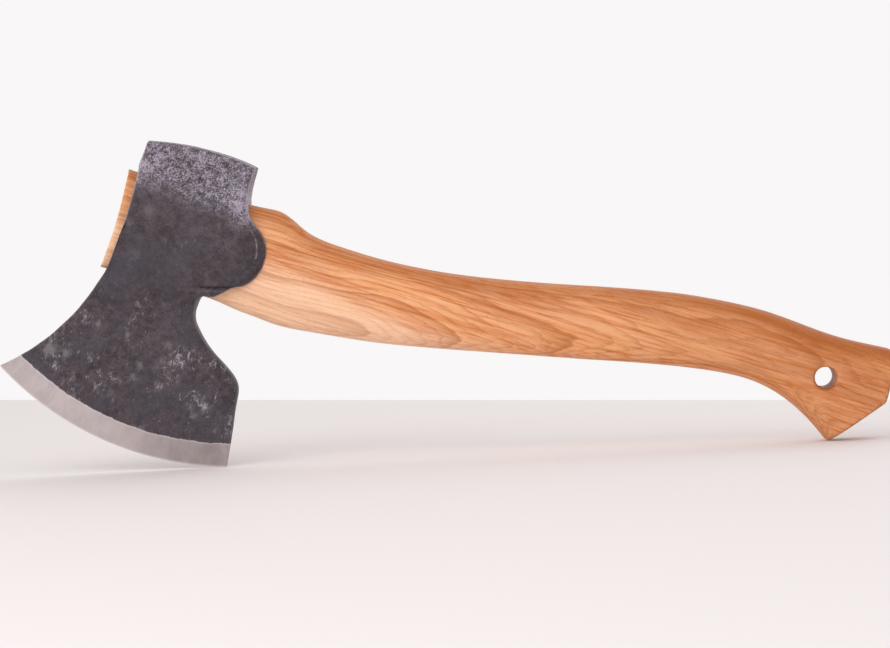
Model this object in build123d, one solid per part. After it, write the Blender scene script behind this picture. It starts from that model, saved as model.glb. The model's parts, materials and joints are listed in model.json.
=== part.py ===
from build123d import *
import math
import os

# A broad-edged carving hatchet: a forged head wedged onto a curved wooden haft.
# All sizes are millimetres. The pieces are drawn in the eye's own frame: X runs
# through the eye, from the head's top face to the foot of the haft, Z is zero on
# the eye's middle line and points to the poll, and Y crosses the blade. The last
# step turns them into the stance in which the hatchet stands on a table, on the
# heel of its blade and the toe of its foot.

# The eye, and the tongue of the haft that fills it face to face.
EYE_HEIGHT = 47.5        # from the poll's side to the blade's side
EYE_WIDTH = 17.5         # at its waist
EYE_FLARE = 2.0          # how much wider it is at its mouths
EYE_PINCH = 1.2          # how much less tall it is at its waist
EYE_SQUARENESS = 2.6     # 2 is an ellipse, more is fuller in the corners

# The head, seen from the side.
POLL_LENGTH = 54.1       # along the eye
POLL_WALL = 18.0         # steel above the eye, at the haft's side
POLL_TILT = 2.9          # the poll's face falls this much towards the top face
POLL_CROWN = 3.0         # rise of the poll's face in its middle
TOP_HOLLOW = 2.8         # the top face is hollow by this much
TOP_FACE_DROP = 1.5      # the top face ends this far short of the eye's lower side
THROAT_WALL = 6.5        # steel between the eye and the throat of the beard
THROAT_SETBACK = 9.2     # how far the throat lies inside the poll's end
LOBE_REACH = 16.5        # how far the cheek lobes run on past the poll's end
EDGE_LENGTH = 117.2      # straight from toe to heel
EDGE_RADIUS = 147.6
BLADE_DROP = 73.6        # from the eye's lower side down to the heel
TOE_RISE = 15.3          # the toe lies this much higher than the heel
TOE_SWEEP = 109.0        # radius of the hollow from the top face to the toe
BEARD_BACK = 25.9        # how far the heel lies past the poll's end
BEARD_HEIGHT = 33.8      # from the heel up to where the beard rounds off
BEARD_LEAN = 4.6         # the beard's back edge leans in by this much
BEVEL_WIDTH = 11.2

# The head, seen from the front and from above.
CHEEK_WALL = 7.5         # steel beside the eye's waist
POLL_WIDTH = 25.5
BLADE_WIDTH = 10.0       # halfway down the blade
BEVEL_START = 5.0        # thickness where the ground bevel starts
EDGE_LAND = 0.4          # thickness of the cutting edge itself
LOBE_LIP = 2.6           # steel at the tip of each lobe
POLL_EASE = 1.2          # chamfer along the poll's face
LOBE_EASE = 1.6          # chamfer round the lobes and the throat

# The haft.
HAFT_LENGTH = 370.2      # along the eye's middle line, tongue's end to foot
TONGUE_PROUD = 3.4       # how far the tongue's corners stand out of the head
KNUCKLE_HEIGHT = 50.9    # the shoulder, just past the lobes
NECK_HEIGHT = 41.0
GRIP_HEIGHT = 35.4
TAIL_HEIGHT = 33.2       # the slimmest place, before the foot
NECK_WIDTH = 21.5
GRIP_WIDTH = 24.5
FOOT_WIDTH = 26.0
GRIP_SQUARENESS = 2.5
HAFT_SWEEP = 28.5        # how far the middle line climbs towards the poll's side
FOOT_TOE_DROP = 16.0     # how far the foot's toe falls below the tail's lower line
FOOT_TOE_INSET = 20.0    # the toe lies this far inside the back of the foot
FOOT_BACK_HEIGHT = 25.2  # from the toe up to the corner at the back of the foot
FOOT_BACK_LEAN = 3.6     # the back of the foot leans in by this much up to its top
FOOT_BACK_CROWN = 0.5    # and stands back from its corner by this much halfway up
FOOT_EASE = 1.6          # rounding of the foot's edges
TONGUE_HOLLOW = 1.6      # the tongue's sawn end is hollow by this much
HOLE_DIAMETER = 10.0     # hanging hole
HOLE_EASE = 0.9
HOLE_TO_BACK = 30.5      # from the hole's middle to the back of the foot
HOLE_BELOW_TOP = 20.0    # from the foot's upper line down to the hole's middle

# The wedges.
WEDGE_HEAD = 5.0         # thickness at the tongue's end
WEDGE_TIP = 1.0
WEDGE_DEPTH = 42.0
KERF_SPARE = 5.0         # saw kerf left open below the wedge's tip
LOCK_LEG = 7.0           # length of each leg of the steel wedge
LOCK_HEAD = 2.2
LOCK_TIP = 0.6
LOCK_DEPTH = 20.0

FAR = 400.0              # beyond every face that a cutting shape has to clear

eye_half = EYE_HEIGHT / 2
head_half_width = EYE_WIDTH / 2 + CHEEK_WALL
haft_end = HAFT_LENGTH - TONGUE_PROUD
knuckle_x = POLL_LENGTH + LOBE_REACH + 0.2


def between(start, end, share):
    return start + (end - start) * share


def rim_edges(solid, chosen):
    """The edges on which every sampled point passes the test."""
    shares = (0.03, 0.5, 0.97)
    return [edge for edge in solid.edges() if all(chosen(edge.position_at(share)) for share in shares)]


def prism(plane, outline):
    """A closed outline drawn in a plane, carried right through to both sides of it."""
    return extrude(plane.offset(-FAR) * make_face(outline), amount=2 * FAR)


# --- the haft's solid shape, tongue and all ---------------------------------

def oval(x, middle, height, width, squareness):
    """One cross-section of the haft at x, as a closed superellipse."""
    points = []
    steps = 24
    for step in range(steps):
        angle = 2 * math.pi * step / steps
        across, up = math.cos(angle), math.sin(angle)
        y = width / 2 * math.copysign(abs(across) ** (2 / squareness), across)
        z = height / 2 * math.copysign(abs(up) ** (2 / squareness), up)
        points.append((x, y, middle + z))
    return Face(Wire(Spline(*points, periodic=True)))


def haft_sections():
    """Tongue, knuckle, neck, grip, tail and foot, each as (x, middle, height, width)."""
    mouth = EYE_WIDTH + EYE_FLARE
    waist_x = POLL_LENGTH * 0.45
    sections = []
    steps = 7
    for step in range(steps):
        x = between(-18.0, POLL_LENGTH, step / (steps - 1))
        from_waist = ((x - waist_x) / waist_x) ** 2
        height = EYE_HEIGHT - EYE_PINCH * (1 - from_waist)
        sections.append((x, 0.0, height, EYE_WIDTH + EYE_FLARE * min(from_waist, 1.3)))
    sections.append((knuckle_x - 8, -0.3, between(EYE_HEIGHT, KNUCKLE_HEIGHT, 0.7), mouth + 0.2))
    sections.append((knuckle_x, -0.4, KNUCKLE_HEIGHT, mouth + 0.6))
    # Along the free haft: share of its length, share of the sweep, height, width, toe's drop.
    free = [
        (0.045, -0.12, between(KNUCKLE_HEIGHT, NECK_HEIGHT, 0.42), NECK_WIDTH - 0.6, 0),
        (0.10, -0.14, between(KNUCKLE_HEIGHT, NECK_HEIGHT, 0.83), NECK_WIDTH, 0),
        (0.17, -0.10, NECK_HEIGHT - 1.0, between(NECK_WIDTH, GRIP_WIDTH, 0.4), 0),
        (0.25, 0.00, between(NECK_HEIGHT, GRIP_HEIGHT, 0.62), between(NECK_WIDTH, GRIP_WIDTH, 0.75), 0),
        (0.35, 0.19, GRIP_HEIGHT + 0.3, GRIP_WIDTH, 0),
        (0.47, 0.46, GRIP_HEIGHT, GRIP_WIDTH, 0),
        (0.60, 0.76, GRIP_HEIGHT, GRIP_WIDTH - 0.3, 0),
        (0.70, 0.94, between(GRIP_HEIGHT, TAIL_HEIGHT, 0.6), GRIP_WIDTH - 0.5, 0),
        (0.78, 1.00, TAIL_HEIGHT, between(GRIP_WIDTH, FOOT_WIDTH, 0.1), 0),
        (0.85, 0.955, TAIL_HEIGHT, between(GRIP_WIDTH, FOOT_WIDTH, 0.5), 0.16),
        (0.90, 0.935, TAIL_HEIGHT, between(GRIP_WIDTH, FOOT_WIDTH, 0.85), 0.58),
        (0.95, 0.96, TAIL_HEIGHT, FOOT_WIDTH, 1.28),
        (1.03, 0.98, TAIL_HEIGHT, FOOT_WIDTH + 0.4, 2.46),
    ]
    for along, climb, height, width, drop in free:
        fall = drop * FOOT_TOE_DROP
        x = between(knuckle_x, haft_end, along)
        sections.append((x, climb * HAFT_SWEEP - fall / 2, height + fall, width))
    return sections


def haft_loft():
    faces = []
    for x, middle, height, width in haft_sections():
        squareness = EYE_SQUARENESS if x < knuckle_x else GRIP_SQUARENESS
        faces.append(oval(x, middle, height, width, squareness))
    return loft(faces)


def tail_limits():
    """Everything short of the foot's end faces and of the tongue's hollow end."""
    foot_top = HAFT_SWEEP * 0.98 + TAIL_HEIGHT / 2
    tail_low = HAFT_SWEEP - TAIL_HEIGHT / 2
    toe = (haft_end - FOOT_TOE_INSET, tail_low - FOOT_TOE_DROP - 1.1)
    corner = (haft_end, toe[1] + FOOT_BACK_HEIGHT)
    slope = (corner[1] - toe[1]) / (corner[0] - toe[0])
    below = (toe[0] - 60, toe[1] - 60 * slope)
    back_top = (haft_end - FOOT_BACK_LEAN, foot_top)
    back_middle = (haft_end - FOOT_BACK_CROWN, between(corner[1], foot_top, 0.47))
    above = (back_top[0] - 8, foot_top + 30)
    outline = Curve() + [
        ThreePointArc((-TONGUE_PROUD, eye_half), (TONGUE_HOLLOW - TONGUE_PROUD, 0), (-TONGUE_PROUD, -eye_half)),
        Line((-TONGUE_PROUD, -eye_half), (-TONGUE_PROUD - 2, -FAR / 2)),
        Line((-TONGUE_PROUD - 2, -FAR / 2), (below[0], -FAR / 2)),
        Line((below[0], -FAR / 2), below),
        Line(below, corner),
        ThreePointArc(corner, back_middle, back_top),
        Line(back_top, above),
        Line(above, (above[0], FAR / 2)),
        Line((above[0], FAR / 2), (-TONGUE_PROUD - 2, FAR / 2)),
        Line((-TONGUE_PROUD - 2, FAR / 2), (-TONGUE_PROUD, eye_half)),
    ]
    return prism(Plane.XZ, outline)


def trimmed_haft(solid):
    """The haft cut to its ends, with the foot's edges rounded."""
    solid = solid & tail_limits()
    return fillet(rim_edges(solid, lambda p: p.X > haft_end - 2 * HOLE_TO_BACK), FOOT_EASE)


def hole_place():
    return Pos(haft_end - HOLE_TO_BACK, 0, HAFT_SWEEP * 0.935 + TAIL_HEIGHT / 2 - HOLE_BELOW_TOP)


def hanging_hole():
    """The bore through the foot, with an eased mouth on each side."""
    flank = between(GRIP_WIDTH, FOOT_WIDTH, 0.85) / 2
    radius = HOLE_DIAMETER / 2
    profile = Polyline(
        (0, -flank * 2), (radius + flank + HOLE_EASE, -flank * 2), (radius, -flank + HOLE_EASE),
        (radius, flank - HOLE_EASE), (radius + flank + HOLE_EASE, flank * 2), (0, flank * 2), close=True)
    face = make_face(Plane.XY * profile)
    return hole_place() * revolve(face, Axis.Y)


# --- the head ------------------------------------------------------------------

def head_outline():
    """The head from the side: poll, lobe, throat, beard, edge, toe and top face."""
    poll_back = (POLL_LENGTH, eye_half + POLL_WALL)
    poll_front = (0.0, poll_back[1] - POLL_TILT)
    poll_middle = (POLL_LENGTH * 0.53, between(poll_front[1], poll_back[1], 0.5) + POLL_CROWN)
    lobe_top = (POLL_LENGTH, eye_half + POLL_WALL * 0.5)
    throat = (POLL_LENGTH - THROAT_SETBACK, -eye_half - THROAT_WALL)
    # Points round the lobe, as shares of its reach and of half the eye's height.
    lobe = [(-0.23, -0.956), (0.19, -0.74), (0.62, -0.55), (0.93, -0.25), (1.0, 0.05),
            (0.79, 0.46), (0.25, 0.79), (0.05, 1.08)]
    lobe = [(POLL_LENGTH + LOBE_REACH * reach, eye_half * up) for reach, up in lobe]
    heel, toe, _ = blade_corners()
    beard_top = (heel[0] - BEARD_LEAN, heel[1] + BEARD_HEIGHT)
    # Points from the beard's top round to the throat, as shares of the way back.
    beard = [(between(throat[0], beard_top[0], across), between(throat[1], beard_top[1], down))
             for across, down in [(0.90, 0.79), (0.51, 0.55), (0.13, 0.26)]]
    top_front = (0.2, -eye_half + TOP_FACE_DROP)
    outline = Curve() + [
        ThreePointArc(poll_front, poll_middle, poll_back),
        Line(poll_back, lobe_top),
        Spline(lobe_top, *reversed(lobe), throat, tangents=[(0, -1), (0, -1)]),
        Spline(throat, *reversed(beard), beard_top, tangents=[(0, -1), (BEARD_LEAN, -BEARD_HEIGHT)]),
        Line(beard_top, heel),
        RadiusArc(heel, toe, EDGE_RADIUS),
        RadiusArc(toe, top_front, -TOE_SWEEP),
        ThreePointArc(top_front, (TOP_HOLLOW, between(top_front[1], poll_front[1], 0.5)), poll_front),
    ]
    return outline


def blade_corners():
    """Heel and toe of the cutting edge, and the middle of the edge's arc."""
    heel = (POLL_LENGTH + BEARD_BACK, -eye_half - BLADE_DROP)
    run = math.sqrt(EDGE_LENGTH ** 2 - TOE_RISE ** 2)
    toe = (heel[0] - run, heel[1] + TOE_RISE)
    rise = math.sqrt(EDGE_RADIUS ** 2 - (EDGE_LENGTH / 2) ** 2)
    middle = (between(toe[0], heel[0], 0.5) + rise * TOE_RISE / EDGE_LENGTH,
              between(toe[1], heel[1], 0.5) + rise * run / EDGE_LENGTH)
    return heel, toe, middle


def front_limits():
    """The head's thickness from the poll down to the blade."""
    widest = head_half_width
    half = [
        (POLL_WIDTH / 2, eye_half + POLL_WALL + 4),
        (between(POLL_WIDTH / 2, widest, 0.45), eye_half + POLL_WALL * 0.4),
        (widest, eye_half * 0.42),
        (widest - 1.0, -eye_half * 0.32),
        (between(widest, BLADE_WIDTH / 2, 0.33), -eye_half * 0.85),
        (between(widest, BLADE_WIDTH / 2, 0.78), -eye_half - THROAT_WALL * 1.5),
        (BLADE_WIDTH / 2, -eye_half - THROAT_WALL - 30),
        (BLADE_WIDTH / 2 - 0.8, -eye_half - BLADE_DROP - 20),
    ]
    other = [(-y, z) for y, z in reversed(half)]
    outline = Curve() + [
        Spline(*half), Line(half[-1], other[0]), Spline(*other), Line(other[-1], half[0])]
    return prism(Plane.YZ, outline)


def plan_limits():
    """The cheeks seen from the poll: full over the eye, then tapering to the lobes' lips."""
    full = head_half_width + 1
    lip = EYE_WIDTH / 2 + EYE_FLARE / 2 + LOBE_LIP
    start = POLL_LENGTH - 8
    side = [(start, full), (between(start, knuckle_x, 0.5), between(full, lip, 0.35)), (knuckle_x, lip)]
    half_curve = [Line((-FAR, full), side[0]), Spline(*side, tangents=[(1, 0), (4, -1)]),
                  Line(side[-1], (FAR, lip))]
    outline = Curve() + half_curve + [mirror(piece, Plane.XZ) for piece in half_curve] + [
        Line((-FAR, full), (-FAR, -full)), Line((FAR, lip), (FAR, -lip))]
    return prism(Plane.XY, outline)


def blade_limits():
    """Thickness measured inwards from the edge, turned about the middle of the edge's arc."""
    middle = blade_corners()[2]
    half = [(EDGE_RADIUS - BEVEL_WIDTH, BEVEL_START / 2), (EDGE_RADIUS - 40, BLADE_WIDTH * 0.5),
            (EDGE_RADIUS - 62, BLADE_WIDTH * 0.82), (EDGE_RADIUS - 78, head_half_width * 0.75),
            (EDGE_RADIUS - 92, head_half_width + 2)]
    top = (0.5, head_half_width + 2)
    edge = (EDGE_RADIUS, EDGE_LAND / 2)
    half_curve = [Line(edge, half[0]), Spline(*half), Line(half[-1], top)]
    other_curve = [mirror(piece, Plane.XZ) for piece in half_curve]
    outline = Curve() + half_curve + other_curve + [
        Line(edge, (edge[0], -edge[1])), Line(top, (top[0], -top[1]))]
    disc = revolve(make_face(outline), Axis.Y)
    return Pos(middle[0], 0, middle[1]) * disc


def head_blank():
    """The forging before its eye is opened, with the rims of its poll and lobes eased."""
    solid = prism(Plane.XZ, head_outline()) & front_limits() & plan_limits() & blade_limits()
    back = POLL_LENGTH - THROAT_SETBACK - 1
    poll_low = eye_half + POLL_WALL - POLL_TILT - 1
    widest = head_half_width - 0.3
    lobes = rim_edges(solid, lambda p: 3 < abs(p.Y) < widest and p.X > back and -eye_half < p.Z)
    solid = chamfer([edge for edge in lobes if edge.position_at(0.5).Z < poll_low], LOBE_EASE)
    return chamfer(rim_edges(solid, lambda p: abs(p.Y) > 3 and p.Z > poll_low), POLL_EASE)


# --- the wedges ------------------------------------------------------------------

def taper(depth, thick, thin, reach):
    """A wedge's blade: thick at the tongue's end, thin at its depth, upright along Z."""
    start = -TONGUE_PROUD - 10
    slope = (thick - thin) / depth
    tip = -TONGUE_PROUD + depth
    thicker = thick + 10 * slope
    outline = Polyline((start, thicker / 2), (tip, thin / 2), (tip, -thin / 2), (start, -thicker / 2),
                       close=True)
    return extrude(make_face(outline), amount=reach)


def kerf_wedge():
    """The wooden wedge's space: it fills the kerf from one end of the eye to the other."""
    blade = taper(WEDGE_DEPTH, WEDGE_HEAD, WEDGE_TIP, EYE_HEIGHT * 2)
    return Pos(0, 0, -EYE_HEIGHT) * blade


def open_kerf():
    """The saw kerf that stays open below the wooden wedge's tip."""
    slot = Box(KERF_SPARE, WEDGE_TIP, EYE_HEIGHT * 2)
    return Pos(WEDGE_DEPTH - TONGUE_PROUD + KERF_SPARE / 2, 0, 0) * slot


def lock_wedge():
    """Three tapered legs that meet in the middle of the tongue's end."""
    leg = taper(LOCK_DEPTH, LOCK_HEAD, LOCK_TIP, LOCK_LEG)
    legs = [Rot(turn, 0, 0) * leg for turn in (0, 120, 240)]
    return legs[0] + legs[1] + legs[2]


# --- the pieces, still in the eye's frame ------------------------------------------

haft_body = haft_loft()
trimmed = trimmed_haft(haft_body)
kerf = kerf_wedge()
lock = lock_wedge() & trimmed
pieces = {
    "axe_head": head_blank() - haft_body,
    "haft": trimmed - hanging_hole() - kerf - open_kerf() - lock,
    "wooden_wedge": (trimmed & kerf) - lock,
    "steel_wedge": lock,
}


# --- the stance --------------------------------------------------------------------

surface_points = {name: solid.tessellate(0.02)[0] for name, solid in pieces.items()}


def turned_box(name, turn):
    """A piece's lowest and highest corners once it is turned about Y."""
    across, up = math.cos(math.radians(turn)), math.sin(math.radians(turn))
    spots = [(p.X * across + p.Z * up, p.Y, p.Z * across - p.X * up) for p in surface_points[name]]
    return [min(axis) for axis in zip(*spots)], [max(axis) for axis in zip(*spots)]


def stance_turn():
    """The turn about Y that brings the heel of the blade and the foot's toe level."""
    heel = blade_corners()[0]
    span = haft_end - FOOT_TOE_INSET - heel[0]
    turn = math.degrees(math.atan2(-heel[1], span))
    for _ in range(4):
        gap = turned_box("haft", turn)[0][2] - turned_box("axe_head", turn)[0][2]
        turn += math.degrees(gap / span)
    return turn


turn = stance_turn()
corners = [turned_box(name, turn) for name in pieces]
low = [min(box[0][axis] for box in corners) for axis in range(3)]
high = [max(box[1][axis] for box in corners) for axis in range(3)]
stance = Pos(-(low[0] + high[0]) / 2, 0, -low[2]) * Rot(0, turn, 0)
hole = (stance * hole_place()).position
print("stance: turned by", round(turn, 4), "degrees; hanging hole at", [round(v, 3) for v in hole])

os.makedirs("parts", exist_ok=True)
for name, solid in pieces.items():
    export_step(stance * solid, f"parts/{name}.step")
    print(name, "volume", round(solid.volume), "mm3")
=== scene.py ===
# %% [markdown]
# # A carving hatchet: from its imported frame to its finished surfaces
#
# The hatchet is four pieces: a forged head, a hickory haft, a wooden wedge driven into the haft's
# saw kerf and a small three-legged steel wedge that locks it. Their sizes are settled already, and
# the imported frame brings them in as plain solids. What is left is what the hand and the eye notice:
# the soft lumps of the forging, the ground bevel, the grain that runs out where the haft is curved.
# The scene is in metres, and each new surface is measured off the solid that it stands for.

# %% The frame
import json
import math

import bmesh
import bpy
import numpy as np
from mathutils import Matrix, Vector, noise
from mathutils.bvhtree import BVHTree


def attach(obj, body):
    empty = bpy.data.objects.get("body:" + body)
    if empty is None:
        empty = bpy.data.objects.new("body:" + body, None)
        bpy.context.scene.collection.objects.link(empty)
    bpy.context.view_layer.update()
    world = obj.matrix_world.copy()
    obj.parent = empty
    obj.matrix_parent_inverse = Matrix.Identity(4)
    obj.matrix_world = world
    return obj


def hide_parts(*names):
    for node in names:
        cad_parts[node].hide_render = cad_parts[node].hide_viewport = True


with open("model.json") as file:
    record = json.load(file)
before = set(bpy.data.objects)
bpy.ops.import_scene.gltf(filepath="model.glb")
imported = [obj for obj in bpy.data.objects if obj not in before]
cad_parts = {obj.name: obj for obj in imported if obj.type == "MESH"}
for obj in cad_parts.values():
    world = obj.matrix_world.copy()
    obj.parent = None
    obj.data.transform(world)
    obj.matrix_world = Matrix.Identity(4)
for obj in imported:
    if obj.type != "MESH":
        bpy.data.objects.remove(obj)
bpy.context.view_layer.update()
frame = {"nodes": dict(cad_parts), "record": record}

scene = bpy.context.scene

# %% [markdown]
# ## A frame of its own for the eye
#
# The hatchet stands on the heel of its blade and the toe of its foot, so nothing in it is level.
# A smith and a haft maker both measure from the eye, the slot that the haft goes through. The same
# is done here: x runs along the eye and the haft, z towards the poll, y across, in millimetres.
# The hanging hole's place in the record pins that frame down.

# %% The eye's frame
MM = 0.001
STANCE = math.radians(19.1164)      # how far the haft dips as the hatchet stands
HOLE_ALONG, HOLE_ABOVE = 336.3, 23.25        # the hanging hole's place from the eye, in mm

record = frame["record"]
hole_mount = next(m for m in record["mounts"] if m["name"] == "hanging_hole")
along = Vector((math.cos(STANCE), 0, -math.sin(STANCE)))
across = Vector((0, 1, 0))
above = Vector((math.sin(STANCE), 0, math.cos(STANCE)))
eye_origin = Vector(hole_mount["pos_m"]) - MM * (HOLE_ALONG * along + HOLE_ABOVE * above)


def place(x, y, z):
    """A point of the eye's frame, in millimetres, as a point of the shared frame, in metres."""
    x, y, z = float(x), float(y), float(z)
    return eye_origin + MM * (x * along + y * across + z * above)


print("the eye opens at", eye_origin)

# %% [markdown]
# ## The stage
#
# A pale table and a white wall far behind it, as in a small studio. The wall is only the world's
# colour, so that it costs nothing and stands behind the hatchet from every side. The lens is long
# and the camera stands far back, which keeps the poll and the foot at nearly the same scale. The
# camera stands a little to the right and leans a little, so the table's back edge is cut on a
# slant to look level to it.

# %% The camera
PICTURE_HEIGHT = 0.7281             # for a width of 1
CAMERA_DISTANCE = 1.6
CAMERA_RISE, CAMERA_TURN = math.radians(2.0), math.radians(1.0)
CAMERA_LEAN = math.radians(-2.616)
VIEW_WIDTH = 0.4178                 # what the picture spans at the hatchet's own plane
VIEW_MIDDLE = Vector((0.0009, 0, 0.0626))
SENSOR_WIDTH = 36                   # in millimetres, as the lens is

camera = bpy.data.objects.new("camera", bpy.data.cameras.new("camera"))
scene.collection.objects.link(camera)
camera.data.sensor_width = SENSOR_WIDTH
camera.data.lens = SENSOR_WIDTH * CAMERA_DISTANCE / VIEW_WIDTH
back = Vector((math.sin(CAMERA_TURN) * math.cos(CAMERA_RISE),
               -math.cos(CAMERA_TURN) * math.cos(CAMERA_RISE), math.sin(CAMERA_RISE)))
turn = (-back).to_track_quat("-Z", "Y").to_matrix() @ Matrix.Rotation(CAMERA_LEAN, 3, "Z")
camera.matrix_world = Matrix.Translation(VIEW_MIDDLE + CAMERA_DISTANCE * back) @ turn.to_4x4()
camera.data.clip_start, camera.data.clip_end = 0.01, 100
scene.camera = camera
print("lens", round(camera.data.lens, 1), "mm")

# %% [markdown]
# ## Shader maths as plain expressions
#
# A material is a small calculation that runs at every point of a surface. Written as nodes it is
# hard to read, so one class wraps a node's output and lets Python's own operators add the nodes:
# `1 - mask * 0.5` becomes two Math nodes. Vectors go through Vector Math, and colours are blended
# with Mix, because a Math node would turn them grey.

# %% One value in a material
class Value:
    """A node's output, with operators that add the nodes of an expression."""

    def __init__(self, socket):
        self.socket = socket
        self.tree = socket.id_data

    def node(self, kind, settings=None, sockets=None, output=0):
        """Any other node: its type, its settings and then the values or links of its sockets."""
        return add_node(self.tree, kind, settings, sockets, output)

    def _maths(self, operation, *values):
        vector = any(isinstance(v, Value) and v.socket.type == "VECTOR" for v in values)
        kind = "ShaderNodeVectorMath" if vector else "ShaderNodeMath"
        return self.node(kind, {"operation": operation}, dict(enumerate(values)))

    def __add__(self, other):
        return self._maths("ADD", self, other)

    def __radd__(self, other):
        return self._maths("ADD", other, self)

    def __sub__(self, other):
        return self._maths("SUBTRACT", self, other)

    def __rsub__(self, other):
        return self._maths("SUBTRACT", other, self)

    def __mul__(self, other):
        return self._maths("MULTIPLY", self, other)

    def __rmul__(self, other):
        return self._maths("MULTIPLY", other, self)

    def __truediv__(self, other):
        return self._maths("DIVIDE", self, other)


def add_node(tree, kind, settings=None, sockets=None, output=0):
    """Adds a node to a tree and returns one of its outputs."""
    made = tree.nodes.new(kind)
    for name, setting in (settings or {}).items():
        setattr(made, name, setting)
    for name, value in (sockets or {}).items():
        feed(find_socket(made.inputs, name), value)
    return Value(find_socket(made.outputs, output))


def find_socket(sockets, name):
    """A socket by its number, its identifier or, failing those, its label."""
    if isinstance(name, int):
        return sockets[name]
    exact = [s for s in sockets if s.identifier == name]
    return exact[0] if exact else next(s for s in sockets if s.name == name)


def feed(socket, value):
    """Links what varies to a socket and sets what doesn't."""
    if isinstance(value, Value):
        socket.id_data.links.new(value.socket, socket)
    else:
        socket.default_value = value


print("shader expressions ready")

# %% [markdown]
# ## Words for what surfaces do
#
# Four verbs cover nearly all that follows. Speckle is noise, stretched along one axis where the
# process that made it was directional, as grain and grinding are. Band turns a distance into a soft
# mask. Blend lays one colour over another. Parts takes a position to pieces.

# %% Speckle, band and blend
def speckle(where, size, stretch=(1, 1, 1), detail=3, rough=0.55, warp=0.0, seed=0.0):
    """Noise from 0 to 1 whose lumps are about `size` millimetres, longer along a stretched axis."""
    scaled = where * tuple(1 / (size * s) for s in stretch)
    shifted = scaled + (seed, seed * 0.7, seed * 1.3)
    return where.node("ShaderNodeTexNoise", {"noise_dimensions": "3D"},
                      {"Vector": shifted, "Scale": 1.0, "Detail": detail, "Roughness": rough,
                       "Distortion": warp})


def band(value, start, end, low=0.0, high=1.0):
    """Low before start, high after end, with a soft rise between; start may lie after end."""
    if start > end:
        start, end, low, high = end, start, high, low
    return value.node("ShaderNodeMapRange", {"interpolation_type": "SMOOTHSTEP"},
                      {"Value": value, "From Min": start, "From Max": end, "To Min": low,
                       "To Max": high})


def as_colour(value):
    """A plain colour with its alpha, as a socket takes it; a value stays as it is."""
    return value if isinstance(value, Value) else (*value, 1)


def blend(factor, first, second):
    """The first colour where factor is 0 and the second where it is 1."""
    return factor.node("ShaderNodeMix", {"data_type": "RGBA"},
                       {"Factor_Float": factor, "A_Color": as_colour(first),
                        "B_Color": as_colour(second)}, "Result_Color")


def parts(vector):
    """The x, y and z of a position, as three values."""
    return [vector.node("ShaderNodeSeparateXYZ", None, {"Vector": vector}, axis)
            for axis in range(3)]


def function(value, operation):
    """A Math node with one value, such as a square root."""
    return value.node("ShaderNodeMath", {"operation": operation}, {0: value})


def screen_colour(red, green, blue):
    """A colour as a paint chart gives it, 0 to 255, turned into light."""
    return tuple(((c / 255 + 0.055) / 1.055) ** 2.4 if c > 10 else c / 255 / 12.92
                 for c in (red, green, blue))


def new_material(name):
    """An empty material's tree, its surface shader and a position in the eye's frame, in mm."""
    material = bpy.data.materials.new(name)
    material.use_nodes = True
    tree = material.node_tree
    shader = tree.nodes["Principled BSDF"]
    spot = add_node(tree, "ShaderNodeTexCoord", None, None, "Object")
    spot = add_node(tree, "ShaderNodeMapping", {"vector_type": "TEXTURE"},
                    {"Vector": spot, "Location": eye_origin, "Rotation": (0, STANCE, 0),
                     "Scale": (MM, MM, MM)})
    return material, shader, spot


def wire(shader, **finish):
    """Gives a surface shader its finish, each value under its socket's name."""
    for name, value in finish.items():
        feed(shader.inputs[name.replace("_", " ")], value)


def relief(height, depth, under=None):
    """Turns a height from 0 to 1, depth mm deep, into a slope that may lie over another slope."""
    sockets = {"Height": height, "Strength": 1.0, "Distance": depth * MM}
    if under:
        sockets["Normal"] = under
    return height.node("ShaderNodeBump", None, sockets)


print("speckle, band, blend and relief ready")

# %% [markdown]
# ## Table, wall and lights
#
# The light comes from nearly everywhere, as in a tent of white card, so the shadows are faint. One
# large soft lamp high on the left puts a sheen on the poll, and a second behind on the right lifts
# the top of the haft.

# %% Table, wall and lights
WALL_COLOUR = screen_colour(249, 247, 247)
TABLE_COLOUR = (0.825, 0.779, 0.772)
CLOUDED = 0.985                     # the table's slightly darker patches, as a share of its colour
CEILING_SHADE = 0.80                # the ceiling's brightness, as a share of the walls'
CEILING_STARTS, CEILING_FULL = 0.25, 0.85    # how steeply upwards walls turn to ceiling
TABLE_BACK = 0.6173                 # how far down the picture the table ends, as a share of it
TABLE_FRONT, TABLE_SIDE = -5.0, 5.0


def on_table(rightward, downward):
    """The point of the table that shows there in the picture, as shares of its width and height."""
    span = VIEW_WIDTH / CAMERA_DISTANCE
    ray = Vector(((rightward - 0.5) * span, (0.5 - downward) * span * PICTURE_HEIGHT, -1))
    ray = camera.matrix_world.to_3x3() @ ray
    start = camera.matrix_world.translation
    return start - ray * (start.z / ray.z)


left, right = on_table(0, TABLE_BACK), on_table(1, TABLE_BACK)
slope = (right - left) / (right.x - left.x)
back_left = left + slope * (-TABLE_SIDE - left.x)
back_right = left + slope * (TABLE_SIDE - left.x)
table_mesh = bpy.data.meshes.new("table")
table_mesh.from_pydata([(-TABLE_SIDE, TABLE_FRONT, 0), (TABLE_SIDE, TABLE_FRONT, 0),
                        tuple(back_right), tuple(back_left)], [], [(0, 1, 2, 3)])
table = bpy.data.objects.new("table", table_mesh)
scene.collection.objects.link(table)

material, shader, spot = new_material("table_paint")
cloudy = speckle(spot, 240, detail=2)
wire(shader, Base_Color=blend(cloudy, TABLE_COLOUR, tuple(c * CLOUDED for c in TABLE_COLOUR)),
     Roughness=0.75, Specular_IOR_Level=0.2)
table_mesh.materials.append(material)


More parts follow.
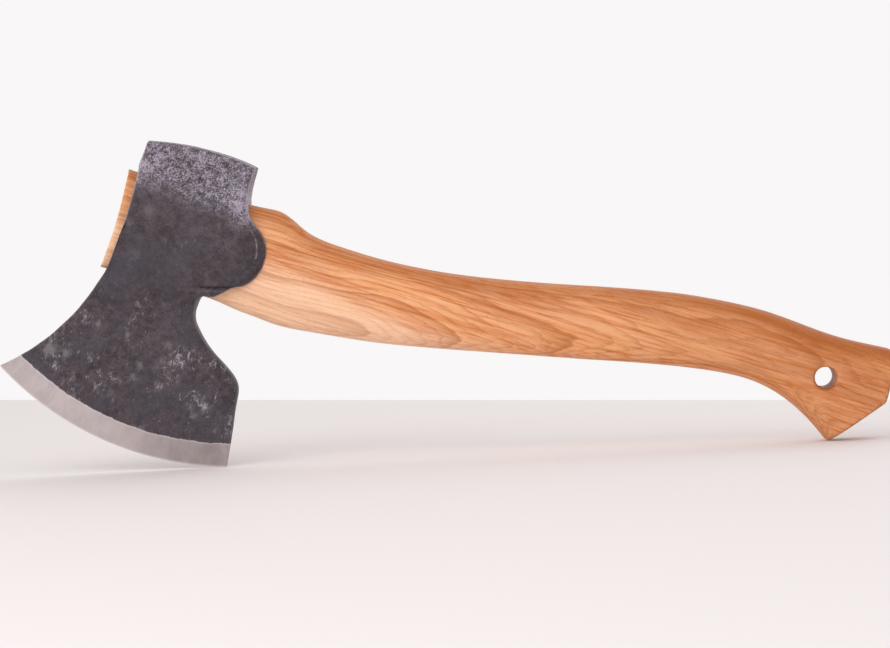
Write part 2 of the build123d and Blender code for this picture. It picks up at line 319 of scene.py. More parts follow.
def soft_lamp(name, spot, aim, size, power):
    """A square of light, as a softbox gives."""
    lamp = bpy.data.objects.new(name, bpy.data.lights.new(name, "AREA"))
    lamp.data.size, lamp.data.energy = size, power
    lamp.location = spot
    lamp.rotation_euler = (Vector(aim) - Vector(spot)).to_track_quat("-Z", "Y").to_euler()
    scene.collection.objects.link(lamp)


soft_lamp("key", (-0.55, -1.15, 0.75), (-0.02, 0, 0.07), 1.0, 6.5)
soft_lamp("rim", (0.55, 0.8, 0.9), (0, 0, 0.08), 1.1, 2.4)

world = bpy.data.worlds.new("white_room")
world.use_nodes = True
world_nodes = world.node_tree
facing = add_node(world_nodes, "ShaderNodeTexCoord", None, None, "Generated")
overhead = band(parts(facing)[2], CEILING_STARTS, CEILING_FULL)
white = blend(overhead, WALL_COLOUR, tuple(c * CEILING_SHADE for c in WALL_COLOUR))
world_nodes.links.new(white.socket, world_nodes.nodes["Background"].inputs["Color"])
scene.world = world
scene.view_settings.view_transform = "Standard"
print("table's back edge from", left, "to", right)

# %% [markdown]
# ## Carving the haft
#
# A haft like this is turned or copy-milled from a straight-grained blank, then drawn down on a
# belt by hand, which leaves it very slightly wavy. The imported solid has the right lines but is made
# of long facets. A voxel remesh wraps it in small even squares, a few rounds of smoothing melt the
# facets together, and a shallow wave of noise puts the maker's hand back. The solid's own hole and
# kerf come through the remesh, so nothing has to be cut again.

# %% The haft's surface
HAFT_VOXEL = 0.78 * MM
HAFT_SMOOTHING = 10
HAND_WAVE, HAND_WAVE_LENGTH = 0.16 * MM, 26 * MM
SEAM = 1e-6                         # points of neighbouring faces that are closer are one


def joined_skin(nodes):
    """One closed mesh of CAD nodes, with the seams of their faces sewn up."""
    skin = bmesh.new()
    for node in nodes:
        skin.from_mesh(frame["nodes"][node].data)
    bmesh.ops.remove_doubles(skin, verts=skin.verts, dist=SEAM)
    return skin


def add_object(name, mesh, body="root"):
    """A mesh as a piece of the scene that rides on a body."""
    made = bpy.data.objects.new(name, mesh)
    scene.collection.objects.link(made)
    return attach(made, body)


def settled_mesh(made, name):
    """The mesh with its modifiers applied, which then takes the object's own mesh's place."""
    bpy.context.view_layer.update()
    evaluated = made.evaluated_get(bpy.context.evaluated_depsgraph_get())
    mesh = bpy.data.meshes.new_from_object(evaluated)
    made.modifiers.clear()
    made.data = mesh
    mesh.name = name
    return mesh


def wrapped(name, nodes, voxel, smoothing):
    """An even skin of small squares round CAD nodes."""
    skin = joined_skin(nodes)
    mesh = bpy.data.meshes.new(name)
    skin.to_mesh(mesh)
    skin.free()
    made = add_object(name, mesh)
    remesh = made.modifiers.new("even", "REMESH")
    remesh.mode, remesh.voxel_size = "VOXEL", voxel
    smooth = made.modifiers.new("melt", "SMOOTH")
    smooth.factor, smooth.iterations = 0.5, smoothing
    settled_mesh(made, name)
    return made


def sink(made, depth_at):
    """Moves each point of a mesh inwards along its normal by depth_at(point)."""
    mesh = made.data
    spots = [v.co.copy() for v in mesh.vertices]
    normals = [v.normal.copy() for v in mesh.vertices]
    for vertex, spot, normal in zip(mesh.vertices, spots, normals):
        vertex.co = spot - normal * depth_at(spot)
    mesh.update()


def hand_wave(spot):
    """How deep the hand's slight waves are at a point, in metres."""
    return HAND_WAVE * (0.5 + noise.noise(spot / HAND_WAVE_LENGTH))


haft = wrapped("hickory_haft", ["haft"], HAFT_VOXEL, HAFT_SMOOTHING)
sink(haft, hand_wave)
haft.data.shade_smooth()
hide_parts("haft")
print("haft:", len(haft.data.polygons), "faces")

# %% [markdown]
# ## Forging the head
#
# The head is drawn out under a hammer, so its cheeks are never flat, and only the edge is ground.
# A grid of squares is laid over it from the side, in rows that start parallel to the cutting edge
# and end parallel to the poll, so the mesh follows the bevel's border. Rays sent through the packed
# solid find each row's ends and the steel's thickness at each point.

# %% Feeling for the solid
FAR = 60.0                          # all distances here are in millimetres
HEEL_SIDE = 100.0                   # past the head on the side of its heel
ABOVE_EDGE, BELOW_EDGE = -60.0, -110.0
EDGE_FROM, EDGE_TO, EDGE_POINTS = -30, 76, 80
HALVINGS = 22
NUDGES = (0, 0.03, -0.03, 0.1, -0.1, 0.2, -0.2)


def tree_of(nodes):
    """CAD nodes as a tree that rays can be sent through."""
    skin = joined_skin(nodes)
    tree = BVHTree.FromBMesh(skin)
    skin.free()
    return tree


head_tree = tree_of(["axe_head"])


def half_thickness(x, z):
    """Half the head's thickness at a point of its side, or None outside its outline."""
    hit = head_tree.ray_cast(place(x, -FAR, z), across)[0]
    return None if hit is None else -hit.y / MM


def felt_thickness(x, z):
    """Half the thickness there or, where a ray slips between two faces, a hair to one side."""
    for shift in NUDGES:
        for spot in ((x + shift, z), (x, z + shift)):
            half = half_thickness(*spot)
            if half is not None:
                return half
    return 0.0


def border(inner, outer, point_at):
    """Where a path leaves the head's outline, between a value inside and one outside."""
    for _ in range(HALVINGS):
        middle = (inner + outer) / 2
        if half_thickness(*point_at(middle)) is None:
            outer = middle
        else:
            inner = middle
    return inner


def edge_point(x):
    """The point of the cutting edge at x."""
    return x, border(ABOVE_EDGE, BELOW_EDGE, lambda z: (x, z))


def circle_through(points):
    """The middle and radius of the circle that passes nearest to points of the side view."""
    rows = np.array([[2 * x, 2 * z, 1] for x, z in points])
    sums = np.array([x * x + z * z for x, z in points])
    middle_x, middle_z, rest = np.linalg.lstsq(rows, sums, rcond=None)[0]
    return (middle_x, middle_z), math.sqrt(rest + middle_x ** 2 + middle_z ** 2)


edge_points = [edge_point(x) for x in np.linspace(EDGE_FROM, EDGE_TO, EDGE_POINTS)]
edge_middle, edge_radius = circle_through(edge_points)
print("edge: radius", round(edge_radius, 2), "about", edge_middle)

# %% [markdown]
# The rows need more points where the surface bends quickly, which is at the rims. So both the rows
# and the columns crowd together there. A flat is filed round each lobe. Every point also keeps its
# distance to the nearest rim, because the rims are worn round later, and in colour they are rubbed
# bright and given painted highlights and painted shade.

# %% The head's grid
BEVEL_WIDTH = 11.2
BEVEL_ROWS, BODY_ROWS, COLUMNS = 15, 165, 150
WALL_STEPS = 18
NEAR_RIM = [0.0, 0.25, 0.55, 0.9, 1.3, 1.8, 2.4, 3.1]
BODY_MIDDLE = 20.0                  # a column that lies inside the head all the way up
POLL_FROM, POLL_TO, POLL_POINTS, POLL_INSIDE = 0.3, 53.8, 55, 20.0
LOBE_START = (47, 53)               # the lobe begins between these, towards the haft
LOBE_BOTTOM, LOBE_TOP = (-17, -11), (15, 22)
LOBE_FACET, LOBE_FACET_DEPTH = 4.4, 0.9
INSET = 0.06                        # how far inside the outline its thickness is felt


def spread(length, count):
    """Places from 0 to length, crowded near both ends."""
    last = NEAR_RIM[-1]
    middle = np.linspace(last, length - last, count - 2 * len(NEAR_RIM) + 2)[1:-1]
    return np.concatenate([NEAR_RIM, middle, [length - near for near in reversed(NEAR_RIM)]])


def arc_row(radius):
    """A row that runs parallel to the cutting edge."""
    return lambda x: edge_middle[1] - math.sqrt(radius ** 2 - (x - edge_middle[0]) ** 2)


poll_x = np.linspace(POLL_FROM, POLL_TO, POLL_POINTS)
poll_z = [border(POLL_INSIDE, FAR, lambda z, x=x: (x, z)) for x in poll_x]
bevel_top = arc_row(edge_radius - BEVEL_WIDTH)


def body_row(share):
    """A row between the bevel's border, at 0, and the poll's face, at 1."""
    return lambda x: (1 - share) * bevel_top(x) + share * float(np.interp(x, poll_x, poll_z))


body_height = body_row(1.0)(BODY_MIDDLE) - body_row(0.0)(BODY_MIDDLE)
rise = np.linspace(0, body_height - NEAR_RIM[-1], BODY_ROWS - len(NEAR_RIM) + 1)
rise = np.concatenate([rise, [body_height - near for near in reversed(NEAR_RIM[:-1])]])
row_shapes = [arc_row(radius) for radius in np.linspace(edge_radius, edge_radius - BEVEL_WIDTH,
                                                        BEVEL_ROWS, endpoint=False)]
row_shapes += [body_row(share) for share in rise / body_height]


def ramp_up(value, start, end):
    """0 before start, 1 after end and a straight rise between."""
    return min(max((value - start) / (end - start), 0.0), 1.0)


def lobe_facet(x, z, from_rim):
    """How much the flat that is filed round each lobe takes off, in mm."""
    zone = ramp_up(x, *LOBE_START) * ramp_up(z, *LOBE_BOTTOM) * (1 - ramp_up(z, *LOBE_TOP))
    return zone * LOBE_FACET_DEPTH * ramp_up(-from_rim, -LOBE_FACET, 0)


def head_side():
    """The side view's grid: x, half thickness and z of each point, and its distance to a rim."""
    grid = np.zeros((len(row_shapes), COLUMNS, 4))
    for number, shape in enumerate(row_shapes):
        lift = INSET if number == 0 else 0.0
        lift -= INSET if number == len(row_shapes) - 1 else 0.0
        first = border(BODY_MIDDLE, -FAR, lambda x: (x, shape(x) + lift))
        last = border(BODY_MIDDLE, HEEL_SIDE, lambda x: (x, shape(x) + lift))
        from_top = body_height - rise[max(number - BEVEL_ROWS, 0)]
        for column, offset in enumerate(spread(last - first, COLUMNS)):
            x = first + offset
            felt = min(max(x, first + INSET), last - INSET)
            half = felt_thickness(felt, shape(felt) + lift)
            rim = min(offset, last - first - offset, from_top)
            half -= lobe_facet(x, shape(x), last - x)
            grid[number, column] = x, half, shape(x), rim
    return grid


side = head_side()
print("head grid", side.shape, "thickest", side[..., 1].max() * 2)

# %% [markdown]
# The two sides are the same grid mirrored. Round the outline a wall joins them, with its own rows
# of points across the steel. At the cutting edge that wall is only a few tenths of a millimetre
# wide, so its points are welded back together there.

# %% Closing the head
WELD = 0.12 * MM
RIM_REACH, RIM_ROUNDS = 1.3, 4      # rims within this many mm are worn round, this many times
KEEN = 1.0                          # this near the cutting edge nothing is worn round


def closed_head(grid):
    """Both sides and the wall round them, as one closed mesh in the shared frame."""
    rows, columns = grid.shape[:2]
    shell = bmesh.new()
    worn = shell.verts.layers.float.new("rim")

    def vertex(x, y, z, rim):
        made = shell.verts.new(place(x, y, z))
        made[worn] = rim
        return made

    near = [[vertex(x, -half, z, rim) for x, half, z, rim in row] for row in grid]
    far = [[vertex(x, half, z, rim) for x, half, z, rim in row] for row in grid]
    for i in range(rows - 1):
        for j in range(columns - 1):
            shell.faces.new([near[i][j], near[i][j + 1], near[i + 1][j + 1], near[i + 1][j]])
            shell.faces.new([far[i][j], far[i + 1][j], far[i + 1][j + 1], far[i][j + 1]])
    loop = [(i, 0) for i in range(rows)] + [(rows - 1, j) for j in range(1, columns)]
    loop += [(i, columns - 1) for i in reversed(range(rows - 1))]
    loop += [(0, j) for j in reversed(range(1, columns - 1))]
    lines = []
    for i, j in loop:
        x, half, z, _ = grid[i, j]
        steps = [-half + 2 * half * step / WALL_STEPS for step in range(1, WALL_STEPS)]
        lines.append([near[i][j]] + [vertex(x, y, z, half - abs(y)) for y in steps] + [far[i][j]])
    for line, after in zip(lines, lines[1:] + lines[:1]):
        for step in range(WALL_STEPS):
            shell.faces.new([line[step], after[step], after[step + 1], line[step + 1]])
    edge = [v for j in range(columns) for v in (near[0][j], far[0][j])]
    edge += [v for line, (i, j) in zip(lines, loop) if i == 0 for v in line[1:-1]]
    bmesh.ops.remove_doubles(shell, verts=edge, dist=WELD)
    bmesh.ops.recalc_face_normals(shell, faces=shell.faces)
    return shell


def from_edge(spot):
    """How far a point of the head lies inside the circle of the cutting edge, in mm."""
    local = (spot - eye_origin) / MM
    x, z = local.dot(along), local.dot(above)
    return edge_radius - math.hypot(x - edge_middle[0], z - edge_middle[1])


def wear_rims(shell):
    """Rounds the rims a little, as tumbling and handling do."""
    worn = shell.verts.layers.float["rim"]
    rims = [v for v in shell.verts if v[worn] < RIM_REACH and from_edge(v.co) > KEEN]
    for _ in range(RIM_ROUNDS):
        bmesh.ops.smooth_vert(shell, verts=rims, factor=0.5, use_axis_x=True, use_axis_y=True,
                              use_axis_z=True)


shell = closed_head(side)
wear_rims(shell)
head_mesh = bpy.data.meshes.new("forged_head")
shell.to_mesh(head_mesh)
shell.free()
head = add_object("forged_head", head_mesh)
print("head:", len(head_mesh.polygons), "faces before its eye is opened")

# %% [markdown]
# The hammer leaves broad shallow flats, which noise gives when only its valleys are kept. Nothing
# is raised, so the head stays inside the solid that it stands for, and nothing moves near the edge,
# where the grinding has taken the forged skin off. Under each lobe a fold marks where the fuller
# bit while the blade was drawn down.

# %% Hammer marks
FLAT_SIZE, FLAT_DEPTH, FLAT_BIAS = 11 * MM, 0.30 * MM, 0.25
PIT_SIZE, PIT_DEPTH, PIT_BIAS = 2.6 * MM, 0.07 * MM, 0.1
PIT_SHIFT = Vector((7, 3, 1))       # so the pits don't follow the flats
POLL_PITS = 1.6                     # the poll's pits are this much deeper again
FADE = 8                            # the marks fade out over this many mm above the bevel
CREASE_START, CREASE_END = (40.0, -20.7), (63.0, -14.0)
CREASE_SAG, CREASE_REACH, CREASE_DEPTH = 0.8, 1.4, 1.6 * MM
CREASE_TAPER, CREASE_POWER = 0.25, 1.5
POLL_ZONE, POLL_BLUR = 20.0, 3      # above this height the steel was struck again and again, and is painted lighter


def lobe_crease(x, z):
    """The fold that the fuller leaves under each lobe: 1 in its middle, 0 outside it."""
    start, end = Vector(CREASE_START), Vector(CREASE_END)
    share = (Vector((x, z)) - start).dot(end - start) / (end - start).length_squared
    sag = CREASE_SAG * 4 * share * (1 - share)
    away = (Vector((x, z)) - start.lerp(end, share)).length if 0 < share < 1 else CREASE_REACH
    away = abs(away - sag) if z < start.lerp(end, share)[1] else away + sag
    ends = ramp_up(share, 0, CREASE_TAPER) * ramp_up(-share, -1, CREASE_TAPER - 1)
    return ends * max(1 - away / CREASE_REACH, 0.0) ** CREASE_POWER


def hammer_marks(spot):
    """How deep the forged skin is sunk at a point, in metres."""
    local = (spot - eye_origin) / MM
    clear = ramp_up(from_edge(spot), BEVEL_WIDTH, BEVEL_WIDTH + FADE)
    struck = ramp_up(local.dot(above), POLL_ZONE - POLL_BLUR, POLL_ZONE + POLL_BLUR)
    crease = CREASE_DEPTH * lobe_crease(local.dot(along), local.dot(above))
    flats = max(noise.noise(spot / FLAT_SIZE) + FLAT_BIAS, 0.0)
    pits = max(noise.noise(spot / PIT_SIZE + PIT_SHIFT) + PIT_BIAS, 0.0)
    return clear * (FLAT_DEPTH * flats + PIT_DEPTH * (1 + POLL_PITS * struck) * pits) + crease


sink(head, hammer_marks)

# %% [markdown]
# The eye is opened with a boolean. Its tool is the haft itself: rays sent in from all round feel
# the wood, and the rings that they give are joined into a plug, a hair larger than the haft. Past
# the end of the tongue the plug goes straight on, so it comes out of the head cleanly.

# %% Opening the eye
RING_POINTS = 96
EYE_CLEARANCE = 0.05
PLUG_START, PLUG_END, PLUG_STEP = 1.0, 88.0, 1.0
PLUG_OUTSIDE = -10.0                # the plug goes on to here, well outside the head
SHARP_ANGLE = math.radians(42)      # faces that meet at more than this keep a crisp edge

wood = joined_skin(["haft", "wooden_wedge", "steel_wedge"])
wood.from_mesh(haft.data)
wood_tree = BVHTree.FromBMesh(wood)
wood.free()


def wood_ring(x):
    """The haft's outline at x, felt from outside, as points of the eye's frame."""
    ring = []
    for number in range(RING_POINTS):
        angle = 2 * math.pi * number / RING_POINTS
        outward = math.cos(angle) * across + math.sin(angle) * above
        start = place(x, 0, 0) + outward * FAR * MM
        hit = wood_tree.ray_cast(start, -outward)[0]
        reach = (hit - place(x, 0, 0)).length / MM + EYE_CLEARANCE
        ring.append((x, reach * math.cos(angle), reach * math.sin(angle)))
    return ring


rings = [wood_ring(x) for x in np.arange(PLUG_START, PLUG_END, PLUG_STEP)]
rings.insert(0, [(PLUG_OUTSIDE, y, z) for _, y, z in rings[0]])
plug = bmesh.new()
turns = [[plug.verts.new(place(*point)) for point in ring] for ring in rings]
for ring, after in zip(turns, turns[1:]):
    for number in range(RING_POINTS):
        beside = (number + 1) % RING_POINTS
        plug.faces.new([ring[number], ring[beside], after[beside], after[number]])
plug.faces.new(turns[0])
plug.faces.new(turns[-1])
bmesh.ops.recalc_face_normals(plug, faces=plug.faces)
plug_mesh = bpy.data.meshes.new("plug")
plug.to_mesh(plug_mesh)
plug.free()
cutter = bpy.data.objects.new("plug", plug_mesh)
scene.collection.objects.link(cutter)
cut = head.modifiers.new("eye", "BOOLEAN")
cut.operation, cut.solver, cut.object = "DIFFERENCE", "EXACT", cutter
settled_mesh(head, "forged_head")
bpy.data.objects.remove(cutter)
head.data.shade_smooth()
head.data.set_sharp_from_angle(angle=SHARP_ANGLE)
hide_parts("axe_head")
print("head:", len(head.data.polygons), "faces with its eye open")

# %% [markdown]
# ## Hickory
#
# Wood is a stack of cones round a pith, and what shows on a haft is where its curved skin cuts
# them. So the rings are drawn in space, round a pith that lies behind the haft and above it, and
# the figure comes by itself: fine lines along the top, long arches lower down. Each ring starts
# with a row of open pores, brown and sharp, and fades to dense pale wood. Fibres and pores are
# noise drawn out along the blank. The blank was cut near the bark, so the lower side by the head is
# sapwood, paler and pinker. The wood is browner wherever its surface faces up, and the oil has gone
# deeper, and browner, in the foot.

# %% The haft's wood
PITH_ACROSS, PITH_ABOVE = 46.0, 30.0
RING_WIDTH = 1.25
BOLD_EVERY = 5                      # one ring in so many is a bold one, from a dry summer
RING_SWAY, RING_RIPPLE = 9.0, 1.1   # how far the rings wander, slowly and quickly, in mm
RING_TAPER = 0.02                   # the tree narrows by this much per millimetre upwards
SAP_DEPTH, SAP_END = (3, -9), (230, 120)     # where sapwood takes over, downwards and headwards
SAP_WANDER, SAP_FROM, SAP_SLOPE = 22, 80, 0.06
FOOT_BROWNS = (190, 330)            # the oil darkens between these, towards the foot
PALE_WOOD = screen_colour(250, 196, 152)
OIL_TAN = screen_colour(236, 160, 102)
OIL_ROSE = screen_colour(224, 146, 98)
OIL_BROWN = screen_colour(168, 88, 26)
SAPWOOD = screen_colour(254, 212, 178)
PORE = screen_colour(128, 70, 36)


def growth_rings(spot, width):
    """From 0 where a ring starts, in open pores, to 1 where it ends, in dense wood."""
    x, y, z = parts(spot)
    sway = speckle(spot, 30, (3.2, 1, 1), detail=2) * RING_SWAY
    ripple = speckle(spot, 4, (6.0, 1, 1), detail=3, seed=3.1) * RING_RIPPLE
    away, up = y - PITH_ACROSS, z - PITH_ABOVE
    radius = function(away * away + up * up, "SQRT") + sway + ripple - x * RING_TAPER
    return function(radius / width, "FRACT")


def facing_of(spot, direction):
    """How far the surface faces a direction, from -1 to 1."""
    normal = spot.node("ShaderNodeTexCoord", None, None, "Normal")
    return spot.node("ShaderNodeVectorMath", {"operation": "DOT_PRODUCT"},
                     {0: normal, 1: direction}, "Value")


def hickory(name):
    """Oiled hickory: its figure, its sapwood, its darker top and foot, and its open pores."""
    material, shader, spot = new_material(name)
    x, y, z = parts(spot)
    upward = facing_of(spot, above)
    broad = speckle(spot, 26, (4, 1, 1), detail=2, seed=2.0)
    zones = speckle(spot, 11, (5, 1, 1), detail=3, seed=9.0)
    ring = growth_rings(spot, RING_WIDTH)
    early = band(ring, 0.55, 0.0) * band(ring, 0.0, 0.08)
    bold = growth_rings(spot, RING_WIDTH * BOLD_EVERY)
    bold = band(bold, 0.30, 0.0) * band(bold, 0.0, 0.04)
    streaks = speckle(spot, 1.3, (34, 1, 1), detail=4, seed=1.0)
    fibres = speckle(spot, 0.42, (30, 1, 1), detail=3, seed=6.0)
    pores = band(speckle(spot, 0.30, (15, 1, 1), detail=2, seed=5.0), 0.60, 0.70)
    crackle = band(speckle(spot, 0.9, (2.2, 1, 1), detail=4, rough=0.7, seed=14.0), 0.52, 0.68)

    sap_edge = z + (broad - 0.5) * SAP_WANDER + (x - SAP_FROM) * SAP_SLOPE
    sap = band(sap_edge, *SAP_DEPTH) * band(x, *SAP_END)
    # browner wherever the surface faces up
    topside = band(upward + (zones - 0.5) * 0.8, 0.0, 0.62)
    calm = sap * 0.55

    wood = blend(band(zones, 0.3, 0.7), OIL_TAN, OIL_ROSE)
    wood = blend(band(streaks, 0.62, 0.38) * 0.55, wood, PALE_WOOD)
    wood = blend(sap * 0.8, wood, SAPWOOD)
    wood = blend(band(streaks, 0.50, 0.74) * (0.48 - calm * 0.4), wood, OIL_BROWN)
    wood = blend(early * (0.36 - calm * 0.36) * (0.4 + zones), wood, OIL_BROWN)
    wood = blend(bold * (0.50 - calm * 0.35), wood, OIL_BROWN)
    wood = blend(topside * 0.56 + band(x, *FOOT_BROWNS) * 0.30, wood, OIL_BROWN)
    wood = blend(crackle * band(broad, 0.62, 0.40) * (0.20 + topside * 0.22), wood, PORE)
    wood = blend(pores * (0.22 + 0.40 * early) * (1 - calm), wood, PORE)
    wood = blend(band(fibres, 0.3, 0.8) * 0.16, wood, OIL_BROWN)

    sawn = band(facing_of(spot, along), 0.35, 0.85)
    wood = blend(sawn * 0.55, wood, PORE)
    gloss = 0.40 + fibres * 0.14 + pores * 0.12 + crackle * 0.05
    grain = relief(1 - (0.45 * pores + 0.30 * early + 0.25 * crackle), 0.07)
    wire(shader, Base_Color=wood, Roughness=gloss, Normal=grain,
         Specular_IOR_Level=0.22, Coat_Roughness=0.3, Coat_IOR=1.45, Coat_Weight=0.03)
    return material


haft.data.materials.append(hickory("oiled_hickory"))
print("hickory with rings", RING_WIDTH, "mm wide")

# %% [markdown]
# ## Forge scale and ground steel
#
# A head leaves the forge with a skin of grey-black scale, tumbled but not polished. It is one
# surface with two finishes, so one material holds both, and the distance to the middle of the
# edge's arc says which is which. The scale is mottled and scuffed where the head has lain on others.
# Its rims are rubbed bright, with painted highlights on the upper rims and painted shade on the
# lower ones. The poll is hammered and painted lighter, with small painted highlights, as light from
# above would make it. The bevel is bare steel whose grinding lines run square to the edge, with a
# painted highlight along its border.

# %% The head's steel
SCALE_DARK = screen_colour(50, 41, 46)
SCALE_GREY = screen_colour(88, 77, 83)
SCALE_BLUE = screen_colour(66, 66, 75)
# rubbed bare steel, also the colour of painted highlights
SCUFF_AND_HIGHLIGHT = screen_colour(184, 178, 184)
# the poll's hammered steel, lighter also as painted sheen
PEENED_AND_SHEEN = screen_colour(162, 150, 166)
STEEL = (0.62, 0.548, 0.552)
STEEL_SHADE = (0.34, 0.29, 0.292)
# the honed edge's pale land, and a painted highlight along the bevel's border
BARE_LINE_AND_HIGHLIGHT = (0.74, 0.69, 0.69)
# painted shade for the lower rims
RIM_PAINTED_SHADE = (0.006, 0.005, 0.006)
BEVEL_WANDER = 1.1                  # how far the bevel's border strays to either side, in mm
HEELWARD, TOEWARD = (10, 75), (5, -60)       # the bevel is painted darker towards both its ends
# the poll's lower corners, where painted highlights lie
POLL_MIDDLE, POLL_CORNER, POLL_LOW = 27, (13, 25), (38, 22)
BLADE_LOW = (-20, -55)              # the blade is more scuffed below these
LINE_BOTTOM, LINE_TOP = (-8, 4), (22, 16)    # the part of the lobe's filed line that is rubbed, with a painted highlight


def round_the_edge(spot):
    """The distance from the middle of the edge's arc and the place along that arc, in mm."""
    x, _, z = parts(spot)
    aside, up = x - float(edge_middle[0]), z - float(edge_middle[1])
    turn = spot.node("ShaderNodeMath", {"operation": "ARCTAN2"}, {0: aside, 1: 0 - up})
    return function(aside * aside + up * up, "SQRT"), turn * edge_radius


def ground_steel(spot, reach, arc, inside):
    """Returns the bevel's colour, brightest along its borders, and its grinding lines."""
    x, y, _ = parts(spot)
    around = spot.node("ShaderNodeCombineXYZ", None, {0: arc, 1: y * 0.2, 2: reach})
    lines = speckle(around, 0.34, (1, 1, 22), detail=4, rough=0.65, warp=0.3, seed=2.0)
    haze = speckle(around, 7, (1, 1, 1.6), detail=5, rough=0.62, seed=6.0)
    # painted darker towards both ends of the bevel
    darker_ends = band(x, *HEELWARD) * 0.60 + band(x, *TOEWARD) * 0.42
    dull = band(lines, 0.3, 0.8) * 0.22 + band(haze, 0.3, 0.7) * 0.34 + darker_ends - 0.14
    colour = blend(dull, STEEL, STEEL_SHADE)
    colour = blend(band(reach, edge_radius - 0.9, edge_radius - 0.4) * 0.6, colour, BARE_LINE_AND_HIGHLIGHT)
    # a painted highlight along the bevel's upper border
    return blend(band(inside, 0.9, 0.2) * 0.45, colour, BARE_LINE_AND_HIGHLIGHT), lines


def peened_and_lit(colour, spot, mottle, sparkle):
    """Lays on the poll's hammered steel, painted lighter; returns where it was hammered and struck.
    """
    x, _, z = parts(spot)
    fade = z + (speckle(spot, 10, detail=4, seed=12.0) - 0.5) * 15 + band(x, 20, 52) * 4
    # the poll's zone, hammered and painted lighter as light from above would make it
    battered_and_lit = band(fade, POLL_ZONE - 6, POLL_ZONE + 7)
    # painted highlights at the poll's lower corners
    corner_highlight = band(function(x - POLL_MIDDLE, "ABSOLUTE"), *POLL_CORNER) * band(z, *POLL_LOW)
    corner_highlight = corner_highlight * battered_and_lit
    # lighter hammered speckle, partly painted sheen
    struck = battered_and_lit * band(mottle * 0.34 + sparkle * 0.66 + corner_highlight * 0.06, 0.45, 0.60)
    # small painted highlights on the poll
    painted_glints = battered_and_lit * band(sparkle + corner_highlight * 0.07, 0.60, 0.70)
    colour = blend(struck * 0.95, colour, PEENED_AND_SHEEN)
    return blend(painted_glints * 0.8, colour, SCUFF_AND_HIGHLIGHT), battered_and_lit, struck


def scuffed(colour, spot):
    """Lays on what rubbed and knocked the scale, which shows more the nearer the edge it is."""
    low = band(parts(spot)[2], *BLADE_LOW)
    knocks = band(speckle(spot, 13, detail=3, seed=31.0), 0.52, 0.62)
    scuffs = speckle(spot, 2.4, (1, 1, 1.7), detail=6, rough=0.8, warp=0.8, seed=21.0)
    rubbed = speckle(spot, 9, (1, 1, 1.4), detail=4, seed=27.0)
    scratches = speckle(spot, 0.6, (1.6, 1, 14), detail=2, warp=1.6, seed=15.0)
    specks = speckle(spot, 0.9, detail=2, seed=41.0)
    colour = blend(band(rubbed, 0.60, 0.74) * 0.26 * (0.3 + 0.7 * low), colour, SCUFF_AND_HIGHLIGHT)
    colour = blend(band(scuffs, 0.52, 0.66) * knocks * (0.15 + 0.55 * low), colour, SCUFF_AND_HIGHLIGHT)
    colour = blend(band(scratches, 0.66, 0.74) * knocks * (0.2 + 0.5 * low), colour, SCUFF_AND_HIGHLIGHT)
    return blend(band(specks, 0.70, 0.76) * (0.2 + 0.35 * low), colour, SCUFF_AND_HIGHLIGHT)


def rim_wear_and_light(colour, spot, mottle):
    """Rubs the rims and lobe line, paints highlights above and shade below; returns both masks."""
    x, _, z = parts(spot)
    rim = spot.node("ShaderNodeAttribute", {"attribute_name": "rim"}, None, "Fac")
    lobe = band(x, *LOBE_START) * band(z, *LINE_BOTTOM) * band(z, *LINE_TOP)
    from_line = function(rim - LOBE_FACET + (mottle - 0.5) * 1.6, "ABSOLUTE")
    broken = band(speckle(spot, 2.2, detail=4, rough=0.7, seed=52.0), 0.38, 0.54)
    # rubbed rims, painted brighter on the upper ones as a painted highlight
    worn = band(rim + (mottle - 0.5) * 1.6, 0.8, 0.1) * (0.18 + 0.37 * band(z, -24, -14))
    # the lobe's filed line, rubbed, with a painted highlight
    worn = worn + band(from_line, 0.55, 0.1) * lobe * broken * 0.42
    # painted shade: the lower rims and walls are painted nearly black
    shaded_low_rim = band(rim, 0.35, 0.05) * band(z, -18, -24)
    colour = blend(worn, colour, SCUFF_AND_HIGHLIGHT)
    return blend(shaded_low_rim * 0.8, colour, RIM_PAINTED_SHADE), worn, shaded_low_rim


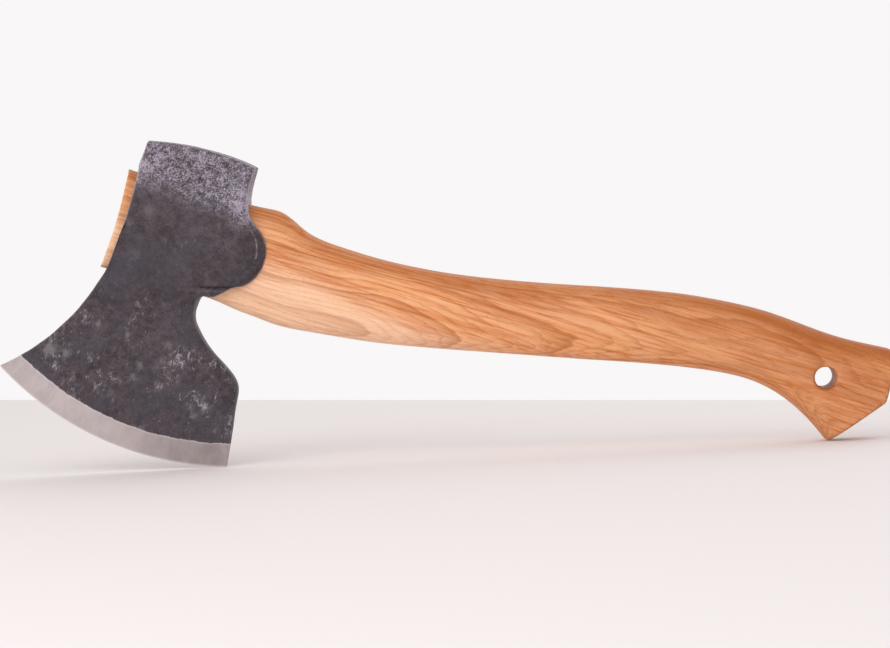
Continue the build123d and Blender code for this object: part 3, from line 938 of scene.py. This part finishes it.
def head_steel(name):
    """Forge scale with its marks and, within the bevel's border, bare ground steel."""
    material, shader, spot = new_material(name)
    clouds = speckle(spot, 15, detail=5, rough=0.6, seed=1.0)
    mottle = speckle(spot, 3.0, detail=5, rough=0.66, seed=7.0)
    grit = speckle(spot, 0.75, detail=3, rough=0.6, seed=8.0)
    sparkle = speckle(spot, 0.75, detail=4, rough=0.75, seed=11.0)

    reach, arc = round_the_edge(spot)
    wander = (speckle(spot, 4, detail=5, rough=0.75, seed=4.0) - 0.5) * BEVEL_WANDER * 2
    inside = reach - (edge_radius - BEVEL_WIDTH) + wander
    ground = band(inside, -0.2, 0.2)
    bare, lines = ground_steel(spot, reach, arc, inside)

    grain = band(clouds * 0.28 + mottle * 0.40 + grit * 0.32, 0.38, 0.62)
    bluish = band(speckle(spot, 22, detail=3, seed=17.0), 0.45, 0.68)
    scale = blend(grain, SCALE_DARK, SCALE_GREY)
    scale = blend(bluish * 0.55, scale, SCALE_BLUE)
    scale, battered_and_lit, struck = peened_and_lit(scale, spot, mottle, sparkle)
    scale = scuffed(scale, spot)
    scale, worn, shaded_low_rim = rim_wear_and_light(scale, spot, mottle)

    bright = struck * 0.5 + worn * 0.5
    shine = 0.50 + clouds * 0.14 - bright * 0.20 + shaded_low_rim * 0.30
    skin = (mottle * 0.45 + sparkle * 0.55 * (0.3 + 0.7 * battered_and_lit)) * (1 - ground)
    wire(shader, Base_Color=blend(ground, scale, bare),
         Metallic=ground * 0.5 + 0.35 + bright * 0.15,
         Roughness=shine * (1 - ground) + ground * (0.38 + lines * 0.12),
         Normal=relief(lines * ground, 0.015, relief(skin, 0.22)), Specular_IOR_Level=0.5)
    return material


head.data.materials.clear()
head.data.materials.append(head_steel("forge_scale_ground_bevel_and_painted_light"))
print("bevel", BEVEL_WIDTH, "mm wide")

# %% [markdown]
# ## The wedges
#
# Only the ends of the wedges show, in the end of the tongue, and their solids have the right shape.
# They keep it and are given finishes: raw wood with its grain running down into the eye, and a
# stamped steel plate rubbed by the hammer that drove it.

# %% The wedges' finishes
WEDGE_PALE, WEDGE_BROWN = screen_colour(214, 168, 120), screen_colour(164, 112, 70)
WEDGE_RING, WEDGE_RING_WIDTH = screen_colour(150, 98, 58), 2.6
PLATE_DARK, PLATE_BRIGHT = screen_colour(120, 116, 118), screen_colour(186, 182, 182)


def dress(node, material):
    """Puts a finish on a CAD node that stays visible."""
    mesh = frame["nodes"][node].data
    mesh.materials.clear()
    mesh.materials.append(material)


def raw_wood(name):
    """Unoiled wood, paler and rougher than the haft's."""
    material, shader, spot = new_material(name)
    fibres = speckle(spot, 0.5, (20, 1, 1.5), detail=4, seed=3.0)
    rings = growth_rings(spot, WEDGE_RING_WIDTH)
    wood = blend(band(fibres, 0.3, 0.7) * 0.5, WEDGE_PALE, WEDGE_BROWN)
    wood = blend(band(rings, 0.3, 0.0) * 0.4, wood, WEDGE_RING)
    wire(shader, Base_Color=wood, Roughness=0.62 + fibres * 0.15, Normal=relief(fibres, 0.05),
         Specular_IOR_Level=0.3)
    return material


def stamped_steel(name):
    """Plate steel with the marks of the hammer."""
    material, shader, spot = new_material(name)
    marks = speckle(spot, 0.6, (1, 1, 4), detail=4, seed=5.0)
    blots = speckle(spot, 2.5, detail=3, seed=6.0)
    steel = blend(band(marks * 0.5 + blots * 0.5, 0.35, 0.65), PLATE_DARK, PLATE_BRIGHT)
    wire(shader, Base_Color=steel, Metallic=0.85, Roughness=0.34 + marks * 0.2,
         Normal=relief(marks, 0.04))
    return material


dress("wooden_wedge", raw_wood("wedge_end_grain"))
dress("steel_wedge", stamped_steel("wedge_steel"))
print("both wedges are dressed")
